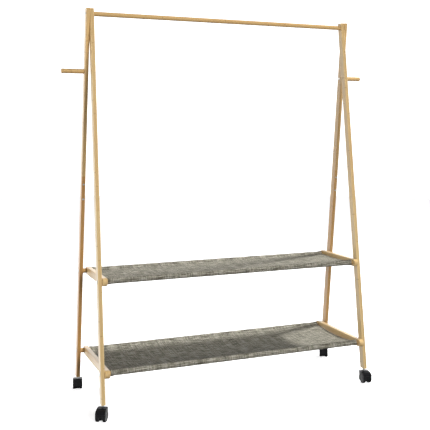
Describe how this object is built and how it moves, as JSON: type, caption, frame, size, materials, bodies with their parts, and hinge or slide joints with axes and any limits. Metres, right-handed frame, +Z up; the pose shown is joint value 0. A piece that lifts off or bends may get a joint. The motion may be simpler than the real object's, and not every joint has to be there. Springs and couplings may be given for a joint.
{
  "type": "rolling clothes rack",
  "caption": "Bamboo clothes rack with two A-shaped end frames, a hanging rail, side pegs and two fabric shelves, on swivel casters.",
  "frame": {"origin": "on the floor, under the middle of the hanging rail", "axes": "+X along the rail to the right, -Y to the front, +Z up"},
  "size_m": [1.321, 0.4314, 1.5],
  "materials": {
    "bamboo": "clear satin lacquer on bamboo strips",
    "shelf_cloth": "coarse melange weave, grey-taupe",
    "black_nylon": "moulded, slightly shiny",
    "steel": "bright zinc plate"
  },
  "bodies": {
    "rack": {"front_left_upper_leg": "bamboo", "front_left_lower_leg": "bamboo", "rear_left_upper_leg": "bamboo", "rear_left_lower_leg": "bamboo", "front_right_upper_leg": "bamboo", "front_right_lower_leg": "bamboo", "rear_right_upper_leg": "bamboo", "rear_right_lower_leg": "bamboo", "splice_screws": "steel", "hanging_rail": "bamboo", "rail_inserts": "steel", "top_bolts": "steel", "left_peg": "bamboo", "right_peg": "bamboo", "peg_screws": "steel", "upper_front_rod": "bamboo", "upper_rear_rod": "bamboo", "upper_left_end_bar": "bamboo", "upper_left_spacer": "bamboo", "upper_right_end_bar": "bamboo", "upper_right_spacer": "bamboo", "lower_front_rod": "bamboo", "lower_rear_rod": "bamboo", "lower_left_end_bar": "bamboo", "lower_left_spacer": "bamboo", "lower_right_end_bar": "bamboo", "lower_right_spacer": "bamboo", "rod_inserts": "steel", "front_bar_bolts": "steel", "rear_bar_bolts": "steel", "upper_shelf_fabric": "shelf_cloth", "lower_shelf_fabric": "shelf_cloth", "caster_stems": "steel", "caster_sockets": "black_nylon"},
    "front_left_caster_swivel": {"front_left_caster_hood": "black_nylon", "front_left_caster_axle": "steel"},
    "front_left_caster_left_wheel": {"front_left_caster_left_wheel": "black_nylon"},
    "front_left_caster_right_wheel": {"front_left_caster_right_wheel": "black_nylon"},
    "front_right_caster_swivel": {"front_right_caster_hood": "black_nylon", "front_right_caster_axle": "steel"},
    "front_right_caster_left_wheel": {"front_right_caster_left_wheel": "black_nylon"},
    "front_right_caster_right_wheel": {"front_right_caster_right_wheel": "black_nylon"},
    "rear_left_caster_swivel": {"rear_left_caster_hood": "black_nylon", "rear_left_caster_axle": "steel"},
    "rear_left_caster_left_wheel": {"rear_left_caster_left_wheel": "black_nylon"},
    "rear_left_caster_right_wheel": {"rear_left_caster_right_wheel": "black_nylon"},
    "rear_right_caster_swivel": {"rear_right_caster_hood": "black_nylon", "rear_right_caster_axle": "steel"},
    "rear_right_caster_left_wheel": {"rear_right_caster_left_wheel": "black_nylon"},
    "rear_right_caster_right_wheel": {"rear_right_caster_right_wheel": "black_nylon"}
  },
  "joints": [
    {"name": "front_left_caster_turn", "type": "hinge", "parent": "rack", "child": "front_left_caster_swivel", "pos_m": [-0.55, -0.174, 0.04], "axis": [0, 0, 1], "continuous": true},
    {"name": "front_left_caster_left_roll", "type": "hinge", "parent": "front_left_caster_swivel", "child": "front_left_caster_left_wheel", "pos_m": [-0.5585, -0.18872, 0.02], "axis": [-0.866, 0.5, 0], "continuous": true},
    {"name": "front_left_caster_right_roll", "type": "hinge", "parent": "front_left_caster_swivel", "child": "front_left_caster_right_wheel", "pos_m": [-0.5585, -0.18872, 0.02], "axis": [-0.866, 0.5, 0], "continuous": true},
    {"name": "front_right_caster_turn", "type": "hinge", "parent": "rack", "child": "front_right_caster_swivel", "pos_m": [0.55, -0.174, 0.04], "axis": [0, 0, 1], "continuous": true},
    {"name": "front_right_caster_left_roll", "type": "hinge", "parent": "front_right_caster_swivel", "child": "front_right_caster_left_wheel", "pos_m": [0.54822, -0.19091, 0.02], "axis": [-0.9945, 0.1045, 0], "continuous": true},
    {"name": "front_right_caster_right_roll", "type": "hinge", "parent": "front_right_caster_swivel", "child": "front_right_caster_right_wheel", "pos_m": [0.54822, -0.19091, 0.02], "axis": [-0.9945, 0.1045, 0], "continuous": true},
    {"name": "rear_left_caster_turn", "type": "hinge", "parent": "rack", "child": "rear_left_caster_swivel", "pos_m": [-0.565, 0.174, 0.04], "axis": [0, 0, 1], "continuous": true},
    {"name": "rear_left_caster_left_roll", "type": "hinge", "parent": "rear_left_caster_swivel", "child": "rear_left_caster_left_wheel", "pos_m": [-0.56147, 0.19063, 0.02], "axis": [0.9781, -0.2079, 0], "continuous": true},
    {"name": "rear_left_caster_right_roll", "type": "hinge", "parent": "rear_left_caster_swivel", "child": "rear_left_caster_right_wheel", "pos_m": [-0.56147, 0.19063, 0.02], "axis": [0.9781, -0.2079, 0], "continuous": true},
    {"name": "rear_right_caster_turn", "type": "hinge", "parent": "rack", "child": "rear_right_caster_swivel", "pos_m": [0.565, 0.174, 0.04], "axis": [0, 0, 1], "continuous": true},
    {"name": "rear_right_caster_left_roll", "type": "hinge", "parent": "rear_right_caster_swivel", "child": "rear_right_caster_left_wheel", "pos_m": [0.5735, 0.18872, 0.02], "axis": [0.866, -0.5, 0], "continuous": true},
    {"name": "rear_right_caster_right_roll", "type": "hinge", "parent": "rear_right_caster_swivel", "child": "rear_right_caster_right_wheel", "pos_m": [0.5735, 0.18872, 0.02], "axis": [0.866, -0.5, 0], "continuous": true}
  ]
}
